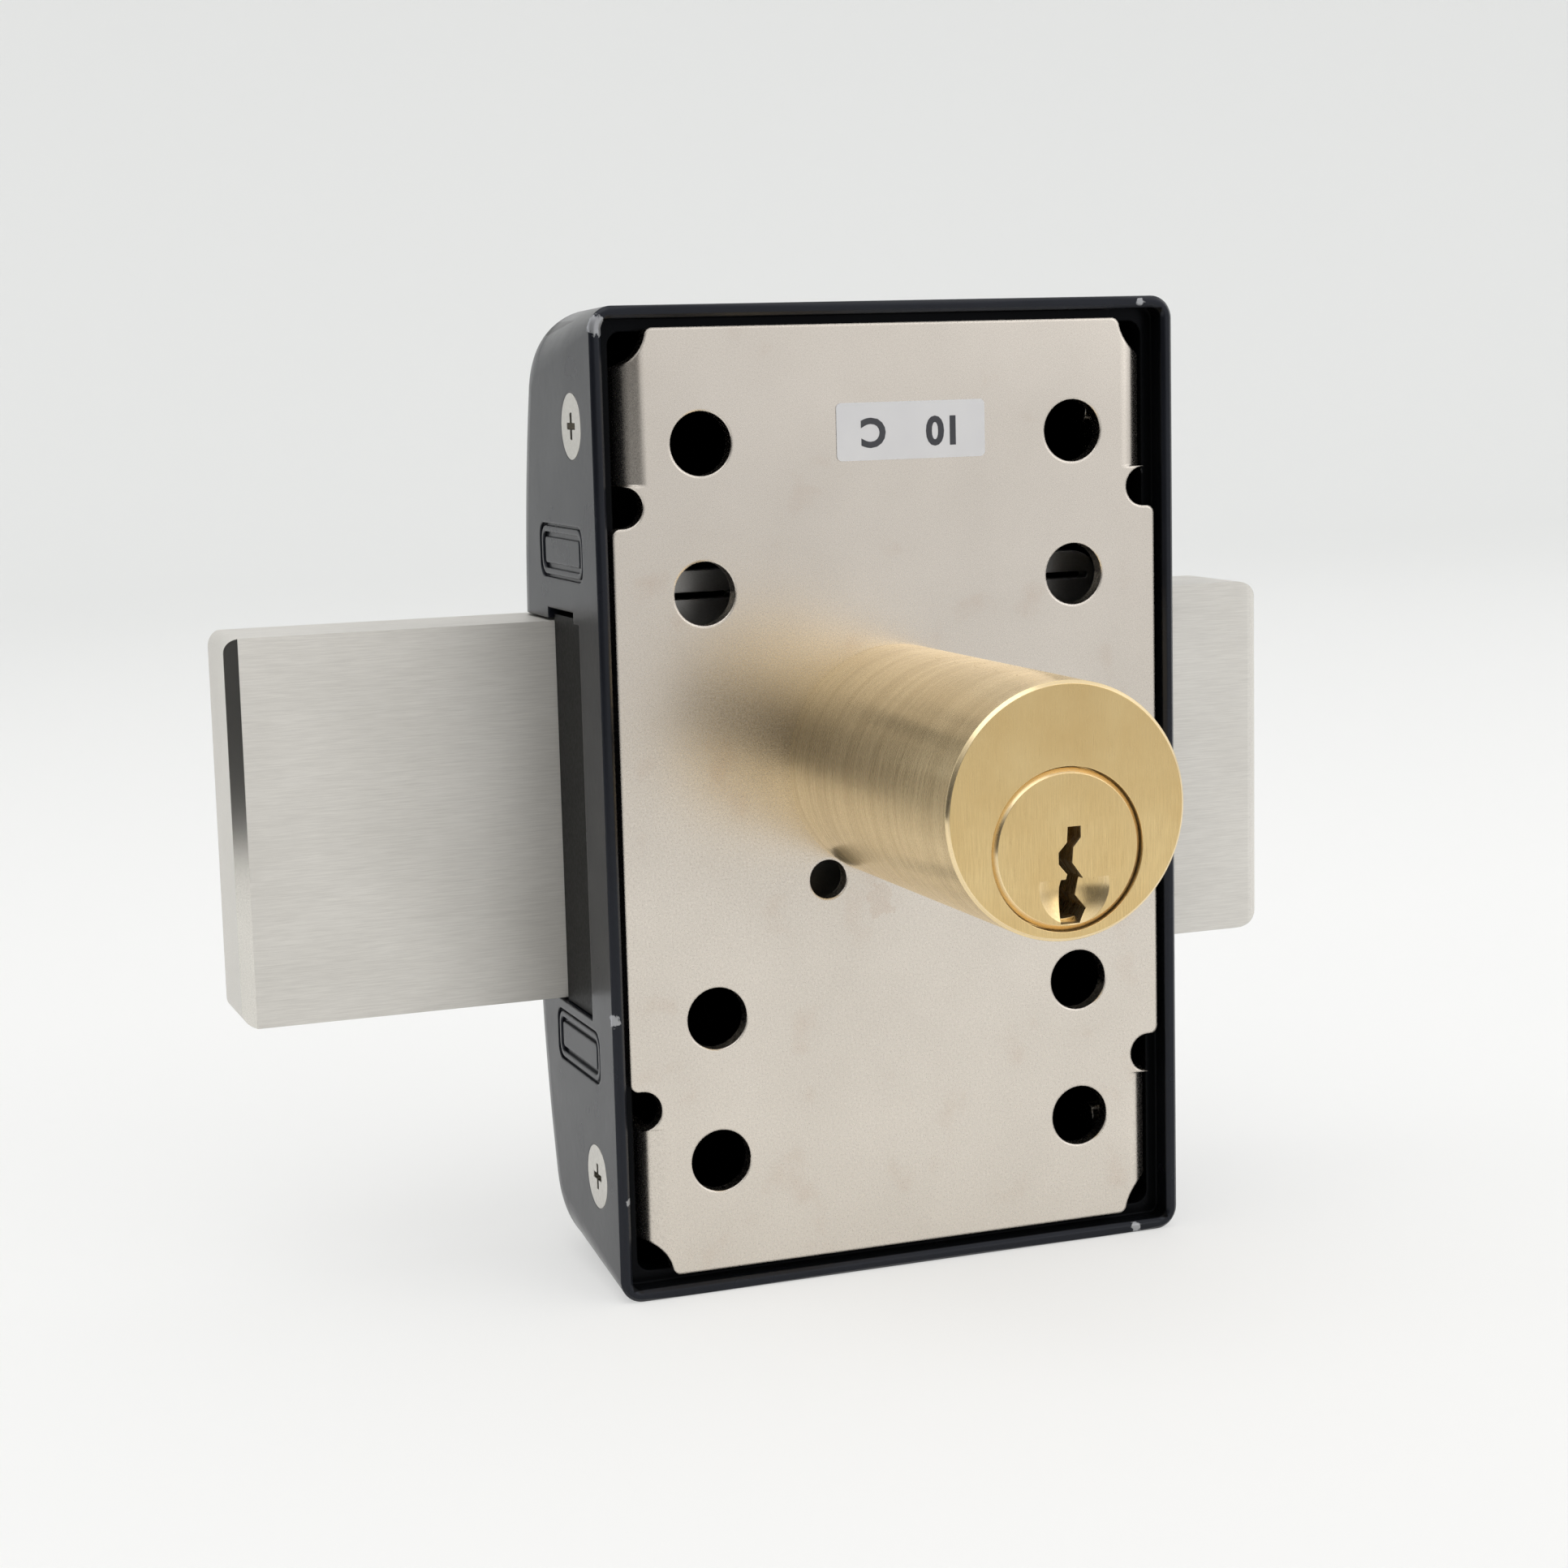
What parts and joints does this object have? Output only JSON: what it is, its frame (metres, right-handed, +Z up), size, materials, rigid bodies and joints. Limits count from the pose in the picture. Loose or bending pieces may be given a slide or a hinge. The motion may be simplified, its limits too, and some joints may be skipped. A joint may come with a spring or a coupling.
{
  "type": "rim box lock",
  "caption": "Surface-mounted lock with a flat through bolt, worked by a round key cylinder on the door side and a turn knob on the room side.",
  "frame": {"origin": "where the axis of the key's plug crosses the plane of the case's rim, on the door side", "axes": "+X to the right seen from the door side, +Y from the door into the room, +Z up"},
  "size_m": [0.1131, 0.0863, 0.0964],
  "materials": {
    "case_paint": "semi-gloss black powder coat on a cast case",
    "knob_paint": "semi-gloss black powder coat",
    "plate_nickel": "satin nickel plate on pressed steel",
    "bolt_nickel": "brushed nickel plate",
    "screw_nickel": "bright nickel plate",
    "inner_steel": "zinc-plated steel",
    "spring_steel": "blued spring steel",
    "cylinder_brass": "satin turned brass",
    "bush_brass": "plain turned brass",
    "guide_plastic": "moulded black nylon",
    "label_paper": "white self-adhesive label"
  },
  "bodies": {
    "root": {"case": "case_paint", "back_plate": "plate_nickel", "label": "label_paper", "side_screws": "screw_nickel", "bolt_guide_left": "guide_plastic", "bolt_guide_right": "guide_plastic", "bridge_plate": "inner_steel", "bridge_bush": "bush_brass", "bridge_screws": "screw_nickel", "brake_spring": "spring_steel", "shaft_bush": "bush_brass", "knob_washer": "guide_plastic", "cylinder_body": "cylinder_brass", "cylinder_screws": "screw_nickel", "driver_pins": "inner_steel", "pin_springs": "spring_steel", "chamber_plugs": "cylinder_brass"},
    "bolt_unit": {"bolt": "bolt_nickel", "rack": "inner_steel", "rack_rivets": "inner_steel"},
    "knob_unit": {"pinion_shaft": "inner_steel", "tail_disc": "inner_steel", "turn_knob": "knob_paint", "knob_grub_screw": "inner_steel"},
    "plug_unit": {"plug": "cylinder_brass", "key_pins": "bush_brass", "plug_clip": "spring_steel", "plug_cam": "inner_steel", "cam_screw": "screw_nickel"}
  },
  "joints": [
    {"name": "bolt_slide", "type": "slide", "parent": "root", "child": "bolt_unit", "axis": [1, 0, 0], "range_m": [0, 0.02513]},
    {"name": "knob_turn", "type": "hinge", "parent": "root", "child": "knob_unit", "pos_m": [0, 0, 0], "axis": [0, 1, 0], "range_deg": [-180, 0]},
    {"name": "plug_turn", "type": "hinge", "parent": "root", "child": "plug_unit", "pos_m": [0, 0, 0], "axis": [0, 1, 0], "range_deg": [-50, 50]}
  ],
  "couplings": [
    {"joint": "knob_turn", "follows": "bolt_slide", "rad_per_m": -125}
  ]
}
